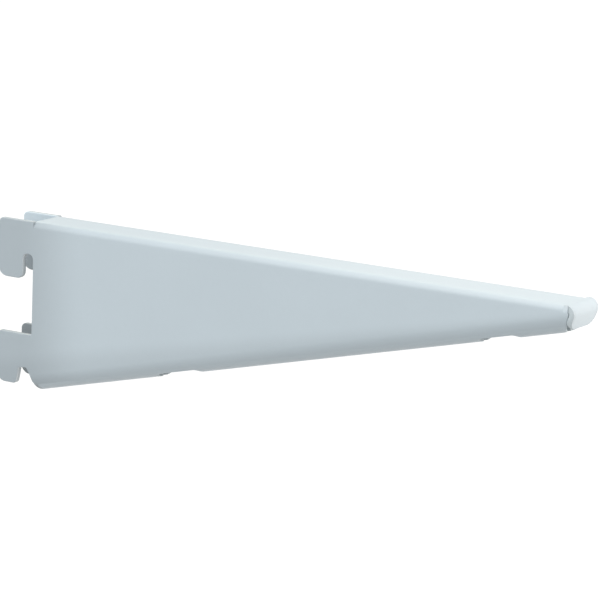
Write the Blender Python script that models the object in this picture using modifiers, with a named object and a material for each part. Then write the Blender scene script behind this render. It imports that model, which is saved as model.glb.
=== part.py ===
# A slotted shelf bracket, pressed from one sheet of steel and folded to a channel.
# The blank is drawn flat, scored along its bend lines, then folded up as a press would:
# first the rolled lower edges, then the nose, then the fold between web and cheeks.
# X runs from the upright to the nose, Z = 0 is the shelf seat, Y = 0 the middle plane.
import math

import bmesh
import bpy
from mathutils import Matrix, Vector

# Driving sizes in millimetres.
length = 170.0            # from the upright's face to the front of the nose
width = 12.0              # over both cheeks
rearDepth = 47.4          # of the body at the upright, from the shelf seat down
sheet = 1.5               # thickness of the steel
seatRise = 2.0            # degrees by which the seat climbs away from the upright
foldInside = 0.3          # inside radius of the fold between web and cheek
noseInside = 0.8          # inside radius of the bend down at the nose
noseRake = 20.0           # degrees by which that bend turns on past upright
lip = 0.3                 # flat strip at the end of each rolled edge
lipGap = 1.6              # slot left between the two lips, underneath
noseFlat = 0.1            # height of cheek left flat between fold and roll, at the nose

# The hooks. Depths are measured down from the shelf seat.
hookReach = 12.2          # behind the upright's face
hookPitch = 32.0          # from one slot of the upright to the next in use
hookSeat = 9.05           # depth of the upper notch's top, which hangs on the slot
upperDrop = 7.2           # length of the upper finger below its notch's top
lowerDrop = 4.95          # the same for the lower finger
upperNotch = 3.4          # width of the upper notch, for the upright's wall
lowerNotchTop = 2.6       # width of the lower notch at its top
lowerNotchMouth = 5.1     # and at its mouth
lowerNotchBack = 1.5      # its top stands back this far from the upright's face
lowerLeadIn = 2.4         # height of the sloped side that leads in to it
lowerHookTop = 22.6       # depth from the upper notch's top to the lower hook's top edge
heelRadius = 3.0          # rear lower corner of a finger
upperToeRadius = 2.0      # front lower corner of the upper finger
lowerToeRadius = 1.4      # and of the lower finger
crownRadius = 1.5         # rear upper corner of a hook
notchCorner = 0.9         # corners at the top of the lower notch
rootRadius = 0.8          # inner corner between the lower hook and the body

# Clearances and reliefs.
slit = 0.15               # relief that frees a fold's end from what stays flat
slitRun = 0.2             # how far a relief runs past the fold
noseGap = 0.3             # between the nose tab and the ends of the cheeks
tabInset = 0.15           # nose tab inside the cheeks' outer faces
tabLift = 0.6             # end of the nose tab above the underside
tabShoulder = 0.8         # straight part of the nose tab before its bend
cheekCorner = 0.8         # upper front corner of a cheek, under the nose's bend

# The screwdriver's way in through the rolled edges, one place near each end.
rearAccess = 47.5         # middle of the rear one, from the upright's face
frontAccess = 23.0        # middle of the front one, back from the nose
rearAccessLength = 14.0
frontAccessLength = 11.5
accessDepth = 2.85        # bitten out of the flat blank's edge
accessCorner = 2.6

# Fineness of the curves, and the least distance that counts.
foldSteps = 6
rollSteps = 10
noseSteps = 6
cornerStep = math.radians(15)
tiny = 1e-3
mm = 0.001

# Sizes that follow from those above.
quarter = math.pi / 2
halfWidth = width / 2
foldRadius = foldInside + sheet
noseRadius = noseInside + sheet
rollRadius = halfWidth - lip - lipGap / 2
noseDepth = foldRadius + noseFlat + rollRadius
lowerSeat = hookSeat + hookPitch
taper = math.atan((rearDepth - noseDepth) / length)
lean = math.tan(math.radians(seatRise))
rake = math.radians(noseRake)
noseSweep = quarter + rake


def chordOf(radius, steps, sweep=quarter):
    # Width of one flat step of a bend, along the middle of the sheet.
    return 2 * (radius - sheet / 2) * math.sin(sweep / steps / 2)


# The flat blank's half is drawn as (x, v), with v measured across it from the middle plane.
webHalf = halfWidth - foldRadius
foldStrip = foldSteps * chordOf(foldRadius, foldSteps)
rollStrip = rollSteps * chordOf(rollRadius, rollSteps)
noseStrip = noseSteps * chordOf(noseRadius, noseSteps, noseSweep)
depthToFlat = webHalf + foldStrip - foldRadius
along = Vector((math.cos(taper), -math.sin(taper)))
outward = Vector((math.sin(taper), math.cos(taper)))
rollStart = Vector((0.0, rearDepth - rollRadius / math.cos(taper) + depthToFlat))
noseBend = length - noseRadius
tabStart = noseBend - tabShoulder
tabHalf = halfWidth - tabInset
tabDrop = noseDepth - tabLift - noseRadius - (noseRadius - sheet / 2) * math.sin(rake)
tabEnd = noseBend + noseStrip + tabDrop / math.cos(rake)
reliefDepth = foldRadius + slitRun


def flat(x, depth):
    # A point of the cheek, at its depth below the seat.
    return Vector((x, depth + depthToFlat))


def upright(x, depth):
    # The same, measured from the upright's face, which leans with the seat's rise.
    return flat(x - lean * depth, depth)


def onRoll(distance, out):
    # A point of the rolled edge: distance along its bend line, and out across it.
    return rollStart + along * distance + outward * out


def lineMeets(point, direction, origin, heading):
    # Where the line from point meets the line through origin.
    cross = direction.x * heading.y - direction.y * heading.x
    gap = origin - point
    return point + direction * ((gap.x * heading.y - gap.y * heading.x) / cross)


def accessCut(middle, long):
    # The four corners of one bite out of the lip's edge, from the rear to the front.
    centre = (middle - rollRadius * math.sin(taper)) / math.cos(taper)
    edge = rollStrip + lip
    deep = edge - accessDepth
    start, end = centre - long / 2, centre + long / 2
    return [
        (onRoll(start, edge), 0),
        (onRoll(start, deep), accessCorner),
        (onRoll(end, deep), accessCorner),
        (onRoll(end, edge), 0),
    ]


def blankOutline():
    # Corners of the half blank with their radii, round from the middle of the web's rear edge.
    edge = rollStrip + lip
    upperHeel = hookSeat + upperDrop
    lowerTop = hookSeat + lowerHookTop
    lowerHeel = lowerSeat + lowerDrop
    bodyFoot = upright(0, lowerSeat + lowerLeadIn)
    footReach = (bodyFoot - rollStart).dot(outward)
    frontPoint = flat(noseBend + (noseInside - noseGap) / math.cos(rake), noseRadius)
    behindTab = Vector((-math.sin(rake), math.cos(rake)))
    frontHead = lineMeets(frontPoint, behindTab, flat(0, reliefDepth), Vector((1, 0)))
    frontFoot = lineMeets(frontPoint, behindTab, onRoll(0, edge), along)
    webAndHooks = [
        (Vector((slit, 0)), 0),
        (flat(slit, reliefDepth), 0),
        (flat(0, reliefDepth), 0),
        (flat(0, 0), 0),
        (flat(-hookReach, 0), crownRadius),
        (upright(-hookReach, upperHeel), heelRadius),
        (upright(-upperNotch, upperHeel), upperToeRadius),
        (upright(-upperNotch, hookSeat), upperNotch / 2),
        (upright(0, hookSeat), upperNotch / 2),
        (upright(0, lowerTop), rootRadius),
        (upright(-hookReach, lowerTop), crownRadius),
        (upright(-hookReach, lowerHeel), heelRadius),
        (upright(-lowerNotchMouth, lowerHeel), lowerToeRadius),
        (upright(-lowerNotchBack - lowerNotchTop, lowerSeat), notchCorner),
        (upright(-lowerNotchBack, lowerSeat), notchCorner),
        (bodyFoot, 0),
    ]
    rolledEdge = [
        (bodyFoot + outward * (edge - footReach), 0),
        *accessCut(rearAccess, rearAccessLength),
        *accessCut(length - frontAccess, frontAccessLength),
        (frontFoot, 0),
    ]
    nose = [
        (frontHead, cheekCorner),
        (flat(tabStart - slit, reliefDepth), 0),
        (Vector((tabStart - slit, webHalf - slitRun)), 0),
        (Vector((tabStart, webHalf - slitRun)), 0),
        (Vector((tabStart, tabHalf)), 0),
        (Vector((tabEnd, tabHalf)), rollRadius - tabInset),
        (Vector((tabEnd, 0)), 0),
    ]
    return webAndHooks + rolledEdge + nose


def roundCorners(corners):
    # Each corner with a radius becomes an arc that is tangent to both of its sides.
    points = []
    count = len(corners)
    for i, (corner, radius) in enumerate(corners):
        back = corners[i - 1][0] - corner
        ahead = corners[(i + 1) % count][0] - corner
        turn = math.pi - back.angle(ahead)
        if radius == 0 or turn < 0.01:
            points.append(corner)
            continue
        room = 0.499 * min(back.length, ahead.length)
        setBack = min(radius * math.tan(turn / 2), room)
        radius = setBack / math.tan(turn / 2)
        inside = (back.normalized() + ahead.normalized()).normalized()
        centre = corner + inside * math.hypot(radius, setBack)
        first = corner + back.normalized() * setBack - centre
        bulge = corner + ahead.normalized() * setBack - centre
        sweep = first.angle_signed(bulge)
        steps = max(2, math.ceil(turn / cornerStep))
        for step in range(steps + 1):
            arm = first.copy()
            arm.rotate(Matrix.Rotation(-sweep * step / steps, 2))
            points.append(centre + arm)
    return points


def scoreLines(mesh, origin, across, chord, steps):
    # Cut the flat blank along every line of one bend.
    for step in range(steps + 1):
        place = origin + across * (step * chord)
        everything = mesh.verts[:] + mesh.edges[:] + mesh.faces[:]
        bmesh.ops.bisect_plane(mesh, geom=everything, dist=1e-4, plane_co=place, plane_no=across)


def foldUp(mesh, moving, carried, origin, axis, across, chord, steps, sweep=quarter):
    # Fold from the outermost line in, about lines that are still flat.
    # What is carried goes with the far side whole, wherever it lies.
    offset = {v: (v.co - origin).dot(across) for v in moving}
    for step in reversed(range(steps + 1)):
        turn = sweep / steps
        if step in (0, steps):
            turn /= 2
        beyond = [v for v in moving if offset[v] > step * chord + tiny]
        bmesh.ops.rotate(mesh, verts=beyond + carried, cent=origin + across * (step * chord),
                         matrix=Matrix.Rotation(-turn, 3, axis))


def foldedHalf():
    # The half blank, scored and folded, as the middle surface of the sheet.
    mesh = bmesh.new()
    level = -sheet / 2
    corners = [mesh.verts.new((p.x, p.y, level)) for p in roundCorners(blankOutline())]
    mesh.faces.new(corners)

    xAxis, yAxis = Vector((1, 0, 0)), Vector((0, 1, 0))
    foldAt = Vector((0, webHalf, level))
    rollAt = Vector((rollStart.x, rollStart.y, level))
    noseAt = Vector((noseBend, 0, level))
    foldChord, rollChord, noseChord = (
        foldStrip / foldSteps, rollStrip / rollSteps, noseStrip / noseSteps)
    scoreLines(mesh, foldAt, yAxis, foldChord, foldSteps)
    scoreLines(mesh, rollAt, outward.to_3d(), rollChord, rollSteps)
    scoreLines(mesh, noseAt, xAxis, noseChord, noseSteps)

    tab = [v for v in mesh.verts if v.co.x > tabStart - slit / 2 and v.co.y < tabHalf + tiny]
    body = [v for v in mesh.verts if v not in tab]
    hooks = [v for v in body if v.co.x < slit / 2 and v.co.y > depthToFlat - tiny]
    cheek = [v for v in body if v not in hooks]
    rolled = [v for v in body if isRolled(v.co)]
    foldUp(mesh, rolled, [], rollAt, along.to_3d(), outward.to_3d(), rollChord, rollSteps)
    foldUp(mesh, tab, [], noseAt, -yAxis, xAxis, noseChord, noseSteps, noseSweep)
    foldUp(mesh, cheek, hooks, foldAt, xAxis, yAxis, foldChord, foldSteps)
    return mesh


def isRolled(place):
    # Past the roll's first line, and in front of the lower notch.
    out = (Vector((place.x, place.y)) - rollStart).dot(outward)
    rear = -lean * (place.y - depthToFlat) - lowerNotchTop / 2
    return out > tiny and place.x > rear


def paintedSteel():
    paint = bpy.data.materials.new("pale_grey_paint")
    paint.use_nodes = True
    shader = paint.node_tree.nodes["Principled BSDF"]
    shader.inputs["Base Color"].default_value = (0.76, 0.80, 0.83, 1)
    shader.inputs["Roughness"].default_value = 0.38
    shader.inputs["Metallic"].default_value = 0.0
    return paint


def makeBracket(collection):
    half = foldedHalf()
    bmesh.ops.dissolve_limit(half, angle_limit=math.radians(0.5), verts=half.verts[:],
                             edges=half.edges[:])
    bmesh.ops.scale(half, vec=(mm, mm, mm), verts=half.verts[:])
    bmesh.ops.recalc_face_normals(half, faces=half.faces[:])
    data = bpy.data.meshes.new("bracket")
    half.to_mesh(data)
    half.free()
    data.materials.append(paintedSteel())
    bracket = bpy.data.objects.new("bracket", data)
    collection.objects.link(bracket)

    other = bracket.modifiers.new("other cheek", "MIRROR")
    other.use_axis = (False, True, False)
    other.use_clip = True
    other.merge_threshold = 0.00005
    steel = bracket.modifiers.new("sheet thickness", "SOLIDIFY")
    steel.thickness = sheet * mm
    steel.offset = 0
    steel.use_even_offset = True
    steel.use_quality_normals = True
    return bracket


def main():
    for thing in list(bpy.data.objects):
        bpy.data.objects.remove(thing, do_unlink=True)
    collection = bpy.data.collections.new("slotted_shelf_bracket")
    bpy.context.scene.collection.children.link(collection)
    makeBracket(collection)


main()
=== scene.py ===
import math

import bpy
import numpy as np
from mathutils import Matrix, Vector
from mathutils.geometry import delaunay_2d_cdt


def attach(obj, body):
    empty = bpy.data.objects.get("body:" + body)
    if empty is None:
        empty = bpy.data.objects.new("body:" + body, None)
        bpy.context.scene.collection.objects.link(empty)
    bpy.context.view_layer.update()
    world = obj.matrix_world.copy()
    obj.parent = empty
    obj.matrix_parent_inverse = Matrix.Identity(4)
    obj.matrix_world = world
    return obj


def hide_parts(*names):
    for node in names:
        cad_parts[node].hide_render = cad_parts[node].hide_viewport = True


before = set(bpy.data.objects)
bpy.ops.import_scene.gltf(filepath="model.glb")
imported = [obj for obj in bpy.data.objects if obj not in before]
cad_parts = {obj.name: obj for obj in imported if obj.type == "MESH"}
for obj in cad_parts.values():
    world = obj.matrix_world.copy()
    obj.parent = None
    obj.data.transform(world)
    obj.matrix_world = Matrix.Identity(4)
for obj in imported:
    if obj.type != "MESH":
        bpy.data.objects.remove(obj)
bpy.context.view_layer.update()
mm = 0.001
quarter = math.pi / 2


# The camera stands where the photograph was taken from.

camera = {
    "azimuth": 35.2,        # degrees round from straight in front of the near cheek
    "elevation": 12.5,      # degrees above the seat
    "roll": -0.63,          # degrees
    "aim": (84.35, 0.0, -11.1),   # mm, what the middle of the picture looks at
    "distance": 886.0,      # mm
    "lens": 205.3, "sensor": 36.0,          # mm
    "nearest": 0.01, "farthest": 100.0,     # m, what it sees between
}


def placeCamera(c):
    # The camera's axes are its right, its up and its back, turned by the roll about the line of sight.
    a, e, roll = (math.radians(c[k]) for k in ("azimuth", "elevation", "roll"))
    back = Vector((math.sin(a) * math.cos(e), -math.cos(a) * math.cos(e), math.sin(e)))
    level = Vector((math.cos(a), math.sin(a), 0))
    upright = back.cross(level)
    right = level * math.cos(roll) - upright * math.sin(roll)
    up = level * math.sin(roll) + upright * math.cos(roll)
    data = bpy.data.cameras.new("camera")
    data.lens, data.sensor_width = c["lens"], c["sensor"]
    data.clip_start, data.clip_end = c["nearest"], c["farthest"]
    made = bpy.data.objects.new("camera", data)
    axes = Matrix((right, up, back)).transposed().to_4x4()
    made.matrix_world = Matrix.Translation((Vector(c["aim"]) + back * c["distance"]) * mm) @ axes
    bpy.context.scene.collection.objects.link(made)
    bpy.context.scene.camera = made


placeCamera(camera)
print("camera placed")


# The bracket: one blank of sheet steel with rounded edges, folded by a formula.

bracket = {                 # mm and degrees, depths measured down from the shelf seat
    "length": 170.0, "width": 12.0, "rearDepth": 47.4,
    "sheet": 1.5,
    "seatRise": 2.0,        # how far the upright's face leans from square with the seat
    "foldInside": 0.3, "noseInside": 0.8,   # inside radii of the folds
    "noseRake": 20.0,       # how far the nose tab leans back
    "lip": 0.3,             # flat past the rolled edge
    "lipGap": 1.6,          # the slot between the two lips
    "noseFlat": 0.1,        # flat between the fold and the roll at the nose
    "hookReach": 12.2, "hookPitch": 32.0, "hookSeat": 9.05,
    "upperDrop": 7.2, "lowerDrop": 4.95,    # from a hook's seat to its tip
    "upperNotch": 3.4,
    "lowerNotchTop": 2.6, "lowerNotchMouth": 5.1, "lowerNotchBack": 1.5,
    "lowerLeadIn": 2.4, "lowerHookTop": 22.6,
    "heelRadius": 3.0, "upperToeRadius": 2.0, "lowerToeRadius": 1.4,
    "crownRadius": 1.5, "notchCorner": 0.9, "rootRadius": 0.8,
    "slit": 0.03, "slitRun": 0.2,           # the reliefs that free the hooks and the nose tab
    "noseRelief": 1.86, "cheekCorner": 0.4, # where the cheeks' ends begin, and their corner
    "noseGap": 0.08,        # from the cheeks' ends to the nose tab
    "tabInset": 0.15,       # the tab's sides, in from the cheeks' faces
    "tabLift": 0.6,         # the tab's end, up from the cheeks' lowest line
    "tabShoulder": 0.8,     # flat from the tab's root to its bend
    # The two bites in the lower edges, perhaps for a screwdriver, from the upright's face and the nose.
    "rearAccess": 47.5, "frontAccess": 23.0, "rearAccessLength": 14.0, "frontAccessLength": 11.5,
    "accessDepth": 2.85, "accessCorner": 2.6,
    "edgeRadius": 0.27,     # every cut edge is rounded by this much
    "cornerRadius": 0.35,   # least radius of a corner of the blank
    "ringGap": 0.05,        # from the rounding to the first row of points on the flat
    "edgeSteps": 4, "cornerSteps": 12,
    "spacing": 0.35,        # between points along the cut edge
    "gridStep": 1.0, "flatStep": 3.0, "noseStep": 0.6,      # between points on the bends and flats
    "webRows": 3, "foldRows": 10, "rollRows": 14, "noseRows": 14,
}


def bracketSizes(b):
    # Sizes that follow from the dictionary, as the CAD source works them out.
    s = dict(b)
    s["halfWidth"] = b["width"] / 2
    s["half"] = b["sheet"] / 2
    foldRadius, noseRadius = b["foldInside"] + b["sheet"], b["noseInside"] + b["sheet"]
    rollRadius = s["halfWidth"] - b["lip"] - b["lipGap"] / 2
    s["rollRadius"], s["noseRadius"] = rollRadius, noseRadius
    s["foldMid"] = foldRadius - s["half"]
    s["noseMid"] = noseRadius - s["half"]
    s["rollMid"] = rollRadius - s["half"]
    s["noseDepth"] = foldRadius + b["noseFlat"] + rollRadius
    s["lowerSeat"] = b["hookSeat"] + b["hookPitch"]
    s["taper"] = math.atan((s["rearDepth"] - s["noseDepth"]) / b["length"])
    s["lean"] = math.tan(math.radians(b["seatRise"]))
    s["rake"] = math.radians(b["noseRake"])
    s["webHalf"] = s["halfWidth"] - foldRadius
    s["foldArc"] = s["foldMid"] * quarter
    s["rollArc"] = s["rollMid"] * quarter
    s["noseArc"] = s["noseMid"] * (quarter + s["rake"])
    s["depthToFlat"] = s["webHalf"] + s["foldArc"] - foldRadius
    s["along"] = np.array((math.cos(s["taper"]), -math.sin(s["taper"])))
    s["outward"] = np.array((math.sin(s["taper"]), math.cos(s["taper"])))
    rollDepth = s["rearDepth"] - rollRadius / math.cos(s["taper"])
    s["rollStart"] = np.array((0.0, rollDepth + s["depthToFlat"]))
    s["noseBend"] = b["length"] - noseRadius
    s["tabStart"] = s["noseBend"] - b["tabShoulder"]
    s["tabHalf"] = s["halfWidth"] - b["tabInset"]
    tabDrop = s["noseDepth"] - b["tabLift"] - noseRadius - s["noseMid"] * math.sin(s["rake"])
    s["tabEnd"] = s["noseBend"] + s["noseArc"] + tabDrop / math.cos(s["rake"])
    s["reliefDepth"] = foldRadius + b["slitRun"]
    s["edge"] = s["rollArc"] + b["lip"]
    return s


def lineMeets(point, direction, origin, heading):
    # Where the line from point meets the line through origin.
    cross = direction[0] * heading[1] - direction[1] * heading[0]
    gap = origin - point
    return point + direction * ((gap[0] * heading[1] - gap[1] * heading[0]) / cross)


def blankCorners(s):
    # Corners of the half blank as (x, v, radius), v measured across the blank from its middle line.
    small = s["cornerRadius"]

    def flat(x, depth):
        return np.array((x, depth + s["depthToFlat"]))

    def upright(x, depth):
        return flat(x - s["lean"] * depth, depth)

    def onRoll(distance, out):
        return s["rollStart"] + s["along"] * distance + s["outward"] * out

    def accessCut(middle, long):
        centre = (middle - s["rollRadius"] * math.sin(s["taper"])) / math.cos(s["taper"])
        deep = s["edge"] - s["accessDepth"]
        start, end = centre - long / 2, centre + long / 2
        return [(onRoll(start, s["edge"]), small), (onRoll(start, deep), s["accessCorner"]),
                (onRoll(end, deep), s["accessCorner"]), (onRoll(end, s["edge"]), small)]

    upperHeel = s["hookSeat"] + s["upperDrop"]
    lowerTop = s["hookSeat"] + s["lowerHookTop"]
    lowerHeel = s["lowerSeat"] + s["lowerDrop"]
    bodyFoot = upright(0, s["lowerSeat"] + s["lowerLeadIn"])
    footReach = (bodyFoot - s["rollStart"]) @ s["outward"]
    frontX = s["noseBend"] + (s["noseInside"] - s["noseGap"]) / math.cos(s["rake"])
    frontPoint = flat(frontX, s["noseRadius"])
    behindTab = np.array((-math.sin(s["rake"]), math.cos(s["rake"])))
    frontHead = lineMeets(frontPoint, behindTab, flat(0, s["noseRelief"]), np.array((1.0, 0.0)))
    frontFoot = lineMeets(frontPoint, behindTab, onRoll(0, s["edge"]), s["along"])
    webAndHooks = [
        (np.array((s["slit"], 0.0)), 0), (flat(s["slit"], s["reliefDepth"]), 0),
        (flat(0, s["reliefDepth"]), 0), (flat(0, 0), small),
        (flat(-s["hookReach"], 0), s["crownRadius"]),
        (upright(-s["hookReach"], upperHeel), s["heelRadius"]),
        (upright(-s["upperNotch"], upperHeel), s["upperToeRadius"]),
        (upright(-s["upperNotch"], s["hookSeat"]), s["upperNotch"] / 2),
        (upright(0, s["hookSeat"]), s["upperNotch"] / 2),
        (upright(0, lowerTop), s["rootRadius"]),
        (upright(-s["hookReach"], lowerTop), s["crownRadius"]),
        (upright(-s["hookReach"], lowerHeel), s["heelRadius"]),
        (upright(-s["lowerNotchMouth"], lowerHeel), s["lowerToeRadius"]),
        (upright(-s["lowerNotchBack"] - s["lowerNotchTop"], s["lowerSeat"]), s["notchCorner"]),
        (upright(-s["lowerNotchBack"], s["lowerSeat"]), s["notchCorner"]),
        (bodyFoot, small),
    ]
    rolledEdge = [
        (bodyFoot + s["outward"] * (s["edge"] - footReach), small),
        *accessCut(s["rearAccess"], s["rearAccessLength"]),
        *accessCut(s["length"] - s["frontAccess"], s["frontAccessLength"]),
        (frontFoot, small),
    ]
    nose = [
        (frontHead, s["cheekCorner"]),
        (flat(s["tabStart"] - s["slit"], s["noseRelief"]), 0),
        (np.array((s["tabStart"] - s["slit"], s["webHalf"] - s["slitRun"])), 0),
        (np.array((s["tabStart"], s["webHalf"] - s["slitRun"])), 0),
        (np.array((s["tabStart"], s["tabHalf"])), small),
        (np.array((s["tabEnd"], s["tabHalf"])), s["rollRadius"] - s["tabInset"]),
        (np.array((s["tabEnd"], 0.0)), 0),
    ]
    corners = webAndHooks + rolledEdge + nose
    return np.array([c for c, _ in corners]), np.array([float(r) for _, r in corners])


def unit(v):
    # Each vector over its own length.
    return v / np.maximum(np.linalg.norm(v, axis=-1, keepdims=True), 1e-12)


def roundedLine(corners, radii, steps, spacing):
    # Each corner's arc runs from one side's tangent point to the other's by turning a radius
    # through the corner's angle; then every long step of the line is cut into equal short ones.
    # An arc takes up less than half of the shorter side, so that two arcs never meet.
    almostHalf, leastTurn, leastStep = 0.499, 1e-3, 1e-5
    back, ahead = np.roll(corners, 1, 0) - corners, np.roll(corners, -1, 0) - corners
    shorter = np.minimum(np.linalg.norm(back, axis=1), np.linalg.norm(ahead, axis=1))
    back, ahead = unit(back), unit(ahead)
    turn = math.pi - np.arccos(np.clip((back * ahead).sum(1), -1, 1))
    turn = np.maximum(turn, leastTurn)
    setBack = np.minimum(radii * np.tan(turn / 2), almostHalf * shorter)
    radii = setBack / np.tan(turn / 2)
    centre = corners + unit(back + ahead) * np.hypot(radii, setBack)[:, None]
    first = corners + back * setBack[:, None] - centre
    last = corners + ahead * setBack[:, None] - centre
    share = np.linspace(0, 1, steps + 1)[None, :, None]
    sweep = turn[:, None, None]
    arcs = centre[:, None] + (np.sin((1 - share) * sweep) * first[:, None]
                              + np.sin(share * sweep) * last[:, None]) / np.sin(sweep)
    arcs[radii < 1e-6] = corners[radii < 1e-6][:, None]
    line = arcs.reshape(-1, 2)
    keep = np.linalg.norm(np.roll(line, -1, 0) - line, axis=1) > leastStep
    line = line[keep]
    run = np.roll(line, -1, 0) - line
    parts = np.maximum(1, np.ceil(np.linalg.norm(run, axis=1) / spacing)).astype(int)
    which = np.repeat(np.arange(len(line)), parts)
    step = np.arange(len(which)) - np.repeat(np.cumsum(parts) - parts, parts)
    return line[which] + run[which] * (step / parts[which])[:, None]


def insetNormals(line):
    # At each point, the mean of its two sides' inward normals, drawn out so that both sides move
    # by one, but never to more than a sharp corner's length.
    sharpest = 0.2
    run = unit(np.roll(line, -1, 0) - line)
    normal = np.stack((-run[:, 1], run[:, 0]), 1)
    before = np.roll(normal, 1, 0)
    return (normal + before) / np.maximum(1 + (normal * before).sum(1), sharpest)[:, None]


def roomToRound(line, radius):
    # The share of the edge's radius that fits: the distance to another part of the line that faces
    # this point across a slit, over four radii. Parts face each other where the way along the line
    # is much longer than the straight one. The share is then evened out over a few points.
    roomy, detour, leastShare, reach = 4, 3, 0.12, 3
    step = np.linalg.norm(np.roll(line, -1, 0) - line, axis=1)
    place = np.cumsum(step)
    apart = np.abs(place[:, None] - place[None])
    apart = np.minimum(apart, place[-1] - apart)
    straight = np.hypot(*(line[:, None, k] - line[None, :, k] for k in (0, 1)))
    facing = np.where(apart > detour * straight + 1e-9, straight, np.inf).min(1)
    share = np.clip(facing / (roomy * radius), leastShare, 1)
    around = np.stack([np.roll(share, k) for k in range(-reach, reach + 1)])
    return 0.5 * (around.min(0) + around.mean(0))


def gridPoints(rows, columns, origin=(0, 0), across=(0, 1), along=(1, 0)):
    # Every crossing of the rows, measured across, with the columns, measured along.
    c, r = np.meshgrid(columns, rows)
    return np.array(origin) + c.reshape(-1, 1) * np.array(along) + r.reshape(-1, 1) * np.array(across)


clearances = {              # mm, how far the points of each strip keep from what lies beside it
    "webRear": 0.9, "webFront": 0.8,
    "besideBend": 0.7,      # from a bend to the one row of points on the flat beside it
    "besideFold": 0.35, "fold": 0.2, "roll": 0.3, "besideRoll": 1.1, "plain": 1.3, "hooks": 1.0,
    "edge": 0.4,            # from the rounding of the cut edge to any point
}
blankReach = {              # mm from the upright's face and the middle line, just past the blank
    "rear": 15.0, "front": 175.0, "side": 60.0,
    "roll": 4.0,            # past both ends of the roll's bend line
}


def insidePoints(s, line, normals, c, reach):
    # Points within the blank: close rows along the bends, a wide grid on the flats,
    # all kept clear of the edge and of one another's strips.
    foldEnd = s["webHalf"] + s["foldArc"]
    xs = np.arange(s["slit"] + c["webRear"], s["tabStart"] - c["webFront"], s["gridStep"])
    web = gridPoints(np.linspace(0, s["webHalf"], s["webRows"] + 1), xs)
    fold = gridPoints(s["webHalf"] + s["foldArc"] * np.linspace(0, 1, s["foldRows"] + 1)[1:], xs)
    besideFold = gridPoints([foldEnd + c["besideBend"]], xs)
    ts = np.arange(-reach["roll"], s["length"] / math.cos(s["taper"]) + reach["roll"], s["gridStep"])
    rollFrame = (s["rollStart"], s["outward"], s["along"])
    roll = gridPoints(s["rollArc"] * np.linspace(0, 1, s["rollRows"] + 1), ts, *rollFrame)
    besideRoll = gridPoints([-c["besideBend"]], ts, *rollFrame)
    plain = gridPoints(np.arange(0, reach["side"], s["flatStep"]),
                       np.arange(-reach["rear"], reach["front"], s["flatStep"]))
    noseXs = s["noseBend"] + s["noseArc"] * np.linspace(0, 1, s["noseRows"] + 1)
    nose = gridPoints(np.arange(0, s["tabHalf"], s["noseStep"]), noseXs)

    def outOf(p):
        return (p - s["rollStart"]) @ s["outward"]

    besideFold = besideFold[outOf(besideFold) < -c["besideFold"]]
    rear = rearOfRoll(s, roll[:, 1])
    roll = roll[(roll[:, 1] > foldEnd + c["roll"]) & (roll[:, 0] > rear + c["roll"])]
    fold = fold[outOf(fold) < -c["fold"]]
    besideRoll = besideRoll[besideRoll[:, 1] > foldEnd + c["besideRoll"]]
    plain = plain[(outOf(plain) < -c["plain"])
                  & ((plain[:, 1] > foldEnd + c["plain"]) | (plain[:, 0] < -c["hooks"]))]
    half = np.concatenate((web, fold, besideFold, roll, besideRoll, plain, nose))
    other = half[half[:, 1] > 1e-6] * (1, -1)
    points = np.concatenate((half, other))

    # How far each point lies inside the line, measured in batches to save memory.
    batch = 1500
    far = np.empty(len(points))
    for start in range(0, len(points), batch):
        part = points[start:start + batch]
        gap = part[:, None] - line[None]
        near = (gap ** 2).sum(2).argmin(1)
        nearest = gap[np.arange(len(part)), near]
        side = np.sign((nearest * normals[near]).sum(1))
        far[start:start + batch] = side * np.linalg.norm(nearest, axis=1)
    return points[far > s["edgeRadius"] + c["edge"]]


def rearOfRoll(s, v):
    # The roll starts in front of this x, behind which the lower finger stays flat.
    return -s["lean"] * (v - s["depthToFlat"]) - s["lowerNotchTop"] / 2


def bend(run, height, middle, arc):
    # A strip bent about a line: up to the line it is flat, then it turns on a circle of the
    # middle radius, and past the arc it runs straight on. Height is measured off the sheet's middle.
    turned = np.clip(run, 0, arc)
    angle = turned / middle
    beyond = np.maximum(run - arc, 0)
    forward = np.minimum(run, 0) + (middle + height) * np.sin(angle) + beyond * np.cos(angle)
    up = (middle + height) * np.cos(angle) - middle - beyond * np.sin(angle)
    return forward, up


def foldSheet(s, x, v, height):
    # The whole sheet as one function of the blank's x and v and the height off its middle:
    # first the rolled edge, then the fold beside the web, and the nose tab on its own.
    side, v = np.where(v < 0, -1.0, 1.0), np.abs(v)
    besideTab = (s["tabHalf"] + s["depthToFlat"] + s["reliefDepth"]) / 2
    tab = (x > s["tabStart"] - s["slit"] / 2) & (v < besideTab)
    hook = ~tab & (x < s["slit"] / 2) & (v > s["depthToFlat"] - 1e-6)

    out = (x - s["rollStart"][0]) * s["outward"][0] + (v - s["rollStart"][1]) * s["outward"][1]
    rolled = ~tab & (out > 0) & (x > rearOfRoll(s, v))
    newOut, newHeight = bend(out, height, s["rollMid"], s["rollArc"])
    shift = np.where(rolled, newOut - out, 0)
    cheekX, cheekV = x + shift * s["outward"][0], v + shift * s["outward"][1]
    cheekHeight = np.where(rolled, newHeight, height)

    run = cheekV - s["webHalf"]
    across, up = bend(run, cheekHeight, s["foldMid"], s["foldArc"])
    across = np.where(hook, s["foldMid"] + cheekHeight, across)
    up = np.where(hook, -s["foldMid"] - (run - s["foldArc"]), up)

    tabRun, tabUp = bend(x - s["noseBend"], height, s["noseMid"], s["noseArc"])
    px = np.where(tab, s["noseBend"] + tabRun, cheekX)
    py = np.where(tab, v, s["webHalf"] + across)
    pz = np.where(tab, tabUp, up)
    return np.stack((px, side * py, pz - s["half"]), 1)


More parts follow.
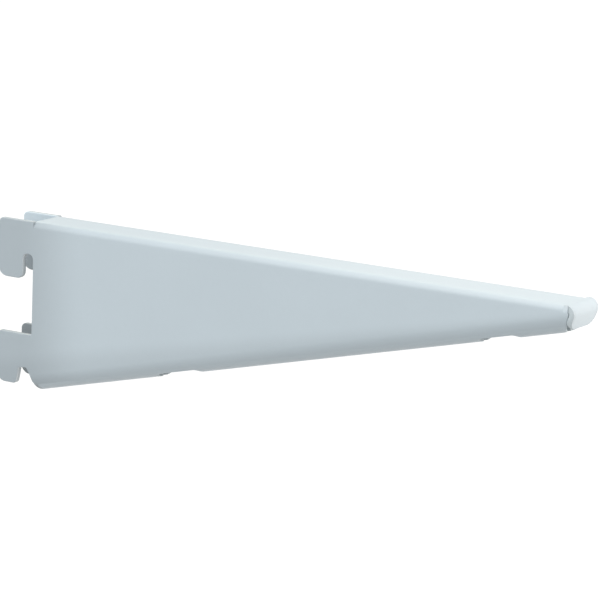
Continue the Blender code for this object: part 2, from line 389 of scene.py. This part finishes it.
def makeBracket(b):
    # The blank's outline gets a rounded edge and two skins, then every point goes through foldSheet.
    s = bracketSizes(b)
    corners, radii = blankCorners(s)
    # The half's ends lie on the middle line, so the mirrored half joins it there with no corner.
    corners = np.concatenate((corners, (corners * (1, -1))[-2:0:-1]))
    radii = np.concatenate((radii, radii[-2:0:-1]))
    line = roundedLine(corners, radii, s["cornerSteps"], s["spacing"])
    area = (line[:, 0] * np.roll(line[:, 1], -1) - np.roll(line[:, 0], -1) * line[:, 1]).sum()
    line = line[::-1] if area < 0 else line
    normals = insetNormals(line)
    count = len(line)

    # The cut edge: a wall with rounded corners, carried along the line. Its angle runs from the
    # top skin over the wall to the bottom skin; inset and height follow from the edge's radius,
    # which is smaller beside a slit.
    r = s["edgeRadius"]
    room = roomToRound(line, r)
    quarterTurn = np.linspace(0, quarter, s["edgeSteps"] + 1)
    inset = r * (1 - np.sin(np.concatenate((quarterTurn, quarterTurn[::-1]))))
    fall = r * (1 - np.cos(quarterTurn))
    upper = s["half"] - fall[:, None] * room
    rows = len(inset)
    rim = line[None] + (inset[:, None] * room)[..., None] * normals[None]
    rimHeight = np.concatenate((upper, -upper[::-1])).ravel()

    # The skins: the blank between its edges, cut into triangles with rows of points along the bends.
    ring = line + (r + s["ringGap"]) * normals
    points = np.concatenate((rim[0], ring, insidePoints(s, line, normals, clearances, blankReach)))
    loop = [(i, (i + 1) % count) for i in range(count)]
    held = [(i + count, j + count) for i, j in loop]
    cut = delaunay_2d_cdt([Vector(p) for p in points], held, [list(range(count))], 1, 1e-7)
    flatPoints = np.array([p[:] for p in cut[0]])
    triangles = np.array(cut[2])
    source = np.array([o[0] if o else -1 for o in cut[3]])
    print("blank:", count, "edge points,", len(flatPoints), "points,", len(triangles), "triangles a side")

    used = np.unique(triangles)
    inner = used[source[used] >= count]
    innerIndex = np.full(len(flatPoints), -1)
    innerIndex[inner] = np.arange(len(inner))
    onRim = source[triangles] < count
    firstInner, lastInner = rows * count, rows * count + len(inner)
    top = np.where(onRim, source[triangles], innerIndex[triangles] + firstInner)
    bottom = np.where(onRim, source[triangles] + (rows - 1) * count, innerIndex[triangles] + lastInner)
    i = np.arange(count)
    j = (i + 1) % count
    k = np.arange(rows - 1)[:, None] * count
    quads = np.stack((i + k, i + k + count, j + k + count, j + k), 2).reshape(-1, 4)

    innerXV = flatPoints[inner]
    x = np.concatenate((rim[..., 0].ravel(), innerXV[:, 0], innerXV[:, 0]))
    v = np.concatenate((rim[..., 1].ravel(), innerXV[:, 1], innerXV[:, 1]))
    h = np.concatenate((rimHeight, np.full(len(inner), s["half"]), np.full(len(inner), -s["half"])))
    places = foldSheet(s, x, v, h) * mm

    mesh = bpy.data.meshes.new("bracket_sheet")
    faces = [*quads.tolist(), *top.tolist(), *bottom[:, ::-1].tolist()]
    mesh.from_pydata(places.tolist(), [], faces)
    mesh.polygons.foreach_set("use_smooth", np.ones(len(faces), bool))
    # How near each point is to the cut edge, and how far that edge faces forward on a finger,
    # which is what lies behind the middle of the notches.
    # The paint uses both for painted light on these edges.
    finger = (line[:, 0] > -b["hookSeat"]) & (line[:, 0] < -b["lowerNotchBack"] - b["sheet"] / 2)
    forward = np.clip(-normals[:, 0], 0, 1) * finger
    skins = np.zeros(2 * len(inner))
    nearEdge = np.concatenate((np.repeat(1 - inset / r, count), skins))
    facesFront = np.concatenate((np.tile(forward, rows), skins))
    for name, values in (("cutEdge", nearEdge), ("frontEdge", facesFront)):
        mesh.attributes.new(name, "FLOAT", "POINT").data.foreach_set("value", values.astype(np.float32))
    mesh.validate()
    mesh.update()
    made = bpy.data.objects.new("bracket_sheet", mesh)
    bpy.context.scene.collection.objects.link(made)
    return made


sheetSteel = makeBracket(bracket)
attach(sheetSteel, "root")
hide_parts("bracket")
print("bracket folded")


# Finishes.

class Wire:
    # One output of a node, so that shader maths can be written as plain sums.
    def __init__(self, finish, socket):
        self.finish, self.socket = finish, socket

    def maths(self, operation, first, second):
        return self.finish.node("Math", {"operation": operation}, {0: first, 1: second})

    def __add__(self, other):
        return self.maths("ADD", self, other)

    def __radd__(self, other):
        return self.maths("ADD", other, self)

    def __sub__(self, other):
        return self.maths("SUBTRACT", self, other)

    def __rsub__(self, other):
        return self.maths("SUBTRACT", other, self)

    def __mul__(self, other):
        return self.maths("MULTIPLY", self, other)

    def __rmul__(self, other):
        return self.maths("MULTIPLY", other, self)

    def __truediv__(self, other):
        return self.maths("DIVIDE", self, other)

    def __rtruediv__(self, other):
        return self.maths("DIVIDE", other, self)

    def __abs__(self):
        return self.finish.node("Math", {"operation": "ABSOLUTE"}, {0: self})


class Finish:
    # The nodes of a material or world, and the one way to add a node: its type, its settings,
    # then its sockets.
    def __init__(self, holder):
        self.holder = holder
        holder.use_nodes = True
        self.tree = holder.node_tree
        self.tree.nodes.clear()

    def node(self, kind, settings=None, inputs=None, output=0):
        made = self.tree.nodes.new("ShaderNode" + kind)
        for name, value in (settings or {}).items():
            setattr(made, name, value)
        for name, value in (inputs or {}).items():
            if isinstance(value, Wire):
                self.tree.links.new(value.socket, made.inputs[name])
            else:
                made.inputs[name].default_value = value
        return Wire(self, made.outputs[output]) if made.outputs else None

    def noise(self, place, scale, detail):
        return self.node("TexNoise", {}, {"Vector": place, "Scale": scale, "Detail": detail})

    def smooth(self, value, low, high):
        # 0 at low, 1 at high, with a soft step between; low may be the higher of the two.
        if low > high:
            return 1 - self.smooth(value, high, low)
        return self.node("MapRange", {"interpolation_type": "SMOOTHSTEP"},
                         {"Value": value, "From Min": low, "From Max": high})

    def larger(self, first, second):
        return self.node("Math", {"operation": "MAXIMUM"}, {0: first, 1: second})

    def blend(self, share, first, second, how="MIX"):
        # A Mix node has its colours at inputs 6 and 7 and at output 2.
        return self.node("Mix", {"data_type": "RGBA", "blend_type": how},
                         {0: share, 6: first, 7: second}, 2)

    def tint(self, colour, tone):
        grey = self.node("CombineColor", {}, {"Red": tone, "Green": tone, "Blue": tone})
        return self.blend(1.0, colour, grey, "MULTIPLY")


paint = {
    "colour": (0.575, 0.663, 0.717, 1),       # pale blue-grey
    "edgeHighlight": (0.60, 0.68, 0.715, 1),           # a slight painted highlight on the cut edges, set to match the photo
    "notchLight": (0.86, 0.92, 0.95, 1),            # painted light on the fingers' front edges, in the notches' shade; set to match the photo
    "edgeHighlightFrom": (0.2, 1.0),                   # from bare flat to the edge's full curve
    "cloud": 0.03, "cloudSize": 35,           # how much the tone wanders, and in waves per metre
    "cloudGloss": 0.1,       # how much the roughness wanders with it
    "hookShadeTone": 0.78,        # painted shade at the hooks: their tone, which rises to full between these two x, in m
    "hookFrom": -0.006, "hookTo": 0.018,
    "rollShadeTone": 0.89,        # painted shade along the rolled edge: the tone between these heights above it, in m
    "rollShadeBand": (0.0000, 0.0042, 0.0060, 0.0120),
    "foldNarrows": 0.5,      # how much of the band's upper heights is lost by the nose
    "insideShadeTones": (0.62, 0.40),              # the painted shade inside the channel, set to match the photo
    "insideTop": (-0.0025, -0.0070),          # it falls to the first between these z, in m,
    "insideDeep": (-0.015, -0.040),           # and to the second between these
    "insideRear": (0.001, -0.001),            # the hooks' inner faces start between these x, in m
    "rollFades": 2.0,        # mm above the rolled edge over which the painted shade on the inner faces sets in
    "innerTopLight": 0.18,           # painted light: how much lighter the hooks' inner faces are just below their top edges
    "faceAt": (0.0047, 0.0052),               # between the inner and the outer faces, from the middle
    "roughness": 0.40,
    "peelSize": 900,         # waves per metre of the paint's orange peel
    "peelDepth": 0.006,      # mm
    "peelTone": 0.02,        # how much the tone wanders with it
}


def paintedSteel(p, s):
    # One pale paint with painted shade at the hooks, the rolled edge and inside, and painted light on
    # edges.
    # The tones were set to match the photo, and they stand for its light and shade.
    f = Finish(bpy.data.materials.new("pale_grey_paint"))
    place = f.node("TexCoord", {}, {}, "Object")
    x, y, z = (f.node("SeparateXYZ", {}, {"Vector": place}, axis) for axis in "XYZ")
    edge = f.node("Attribute", {"attribute_name": "cutEdge"}, {}, "Fac")
    notchLit = f.node("Attribute", {"attribute_name": "frontEdge"}, {}, "Fac")
    cloud = f.noise(place, p["cloudSize"], 3) - 0.5
    fine = f.noise(place, p["peelSize"], 2)

    # Height above the rolled edge's lowest line, and whether a point is on an outer face.
    slope = math.tan(s["taper"])
    above = (z + s["rearDepth"] * mm - x * slope) * math.cos(s["taper"])
    outer = f.smooth(abs(y), *p["faceAt"])
    foldLow, foldHigh = p["rollShadeBand"][:2], p["rollShadeBand"][2:]
    narrowing = 1 - x * (p["foldNarrows"] / (s["length"] * mm))
    # Painted shade in a band along the rolled edge, narrowing towards the nose.
    band = f.smooth(above, *foldLow) * f.smooth(above / narrowing, *foldHigh[::-1]) * outer
    overRoll = f.smooth(above, s["rollRadius"] * mm, (s["rollRadius"] + p["rollFades"]) * mm)
    # Painted shade on the inner faces, at the hooks and above the roll, darker deeper down.
    walls = (1 - outer) * f.larger(f.smooth(x, *p["insideRear"]), overRoll)
    high, low = p["insideShadeTones"]
    inside = walls * (f.smooth(z, *p["insideTop"]) * (1 - high)
                      + f.smooth(z, *p["insideDeep"]) * (high - low))
    # Painted light on the hooks' inner faces just below their top edges.
    innerTopLight = (1 - outer) * f.smooth(x, 0.0, -0.001) * f.smooth(z, *p["insideTop"][::-1]) * p["innerTopLight"]
    # Painted shade: the hooks are darker than the body.
    rear = f.smooth(x, p["hookTo"], p["hookFrom"]) * outer
    tone = ((1 - rear * (1 - p["hookShadeTone"])) * (1 - band * (1 - p["rollShadeTone"]))
            * (1 - inside) * (1 + innerTopLight))
    tone = tone * (1 + cloud * (2 * p["cloud"]) + (fine - 0.5) * p["peelTone"])

    # Painted highlight: the cut edges are a little lighter.
    edgeHighlight = f.smooth(edge, *p["edgeHighlightFrom"])
    # Painted light on the fingers' front edges, which lie in the notches' shade.
    colour = f.blend(edgeHighlight * notchLit, f.tint(f.blend(edgeHighlight, p["colour"], p["edgeHighlight"]), tone), p["notchLight"])
    peel = f.node("Bump", {}, {"Height": fine * (p["peelDepth"] * mm), "Distance": 1.0, "Strength": 1.0})
    shader = f.node("BsdfPrincipled", {}, {
        "Base Color": colour, "Roughness": p["roughness"] + cloud * p["cloudGloss"],
        "Metallic": 0.0, "Normal": peel,
    })
    f.node("OutputMaterial", {}, {"Surface": shader})
    return f.holder


sheetSteel.data.materials.append(paintedSteel(paint, bracketSizes(bracket)))
print("paint made")


# The floor, the room and the lamps.

studio = {
    "floorDrop": 0.16, "floorHalf": 8.0,    # m, how far it lies below the seat and reaches out
    "floorColour": (0.50, 0.50, 0.50, 1),
    "floorLift": 0.58,       # what is added to the plain floor where it is seen, so that it shows white
    "room": (0.70, 0.70, 0.70, 1),          # light from all round
    # Each far lamp: what it adds to a white surface that faces it, its colour, where it comes
    # from, and over how many degrees it is spread.
    "front": (0.263, (1, 1, 1), (-0.183, -0.683, 0.707), 40),
    "left": (0.170, (1, 1, 1), (-0.836, -0.483, 0.259), 40),
    "back": (0.110, (1.05, 1.05, 0.80), (-0.750, 0.433, 0.500), 40),
    # Each near lamp: watts, colour, place and target in metres, and its side.
    "nose": (0.0080, (1.10, 0.99, 0.91), (0.205, 0.006, 0.000), (0.168, 0.0, -0.003), 0.012),
    "seat": (0.034, (1.15, 1.00, 0.85), (0.145, 0.0, 0.11), (0.145, 0.0, 0.0), 0.08),
}


def seenDirectly(f):
    # 1 for what the camera sees, straight or through a mirror or a clear piece.
    camera, glossy, clear = (f.node("LightPath", {}, {}, "Is " + ray + " Ray")
                             for ray in ("Camera", "Glossy", "Transmission"))
    return camera + glossy + clear


def makeFloor(s):
    # A wide square that keeps the shadow, white where it is seen and clear from below.
    signs = np.array([(-1, -1), (1, -1), (1, 1), (-1, 1)])
    corners = np.column_stack((signs * s["floorHalf"], np.full(4, -s["floorDrop"])))
    mesh = bpy.data.meshes.new("floor")
    mesh.from_pydata(corners.tolist(), [], [(0, 1, 2, 3)])
    floor = bpy.data.objects.new("floor", mesh)
    bpy.context.scene.collection.objects.link(floor)
    f = Finish(bpy.data.materials.new("floor_white"))
    plain = f.node("BsdfDiffuse", {}, {"Color": s["floorColour"]})
    lift = f.node("Emission", {}, {"Color": (1, 1, 1, 1), "Strength": seenDirectly(f) * s["floorLift"]})
    white = f.node("AddShader", {}, {0: plain, 1: lift})
    clear = f.node("BsdfTransparent")
    below = f.node("NewGeometry", {}, {}, "Backfacing")
    shader = f.node("MixShader", {}, {0: below, 1: white, 2: clear})
    f.node("OutputMaterial", {}, {"Surface": shader})
    mesh.materials.append(f.holder)


def makeRoom(s):
    # Where it is seen the room is plain white; the rest gets the room's light.
    f = Finish(bpy.data.worlds.new("room"))
    light = f.node("Background", {}, {"Color": s["room"]})
    white = f.node("Background", {}, {"Color": (1, 1, 1, 1)})
    seen = f.node("MixShader", {}, {0: seenDirectly(f), 1: light, 2: white})
    f.node("OutputWorld", {}, {"Surface": seen})
    bpy.context.scene.world = f.holder


def addLamp(name, data, colour, towards):
    # The lamp is turned so that its light comes from where the vector points.
    data.color = colour
    lamp = bpy.data.objects.new(name, data)
    lamp.rotation_mode = "QUATERNION"
    lamp.rotation_quaternion = Vector(towards).to_track_quat("Z", "Y")
    bpy.context.scene.collection.objects.link(lamp)
    return lamp


def makeSun(name, level, colour, towards, spread):
    # A broad lamp far away.
    data = bpy.data.lights.new(name, "SUN")
    data.energy = level * math.pi
    data.angle = math.radians(spread)
    addLamp(name, data, colour, towards)


def makePanel(name, watts, colour, place, target, side):
    # A square lamp close by, whose light falls off along the bracket.
    data = bpy.data.lights.new(name, "AREA")
    data.energy = watts
    data.size = side
    lamp = addLamp(name, data, colour, Vector(place) - Vector(target))
    lamp.location = place
    lamp.visible_camera = False


makeFloor(studio)
makeRoom(studio)
for name in ("front", "left", "back"):
    makeSun(name + "_lamp", *studio[name])
for name in ("nose", "seat"):
    makePanel(name + "_lamp", *studio[name])
bpy.context.scene.view_settings.view_transform = "Standard"
print("room lit")
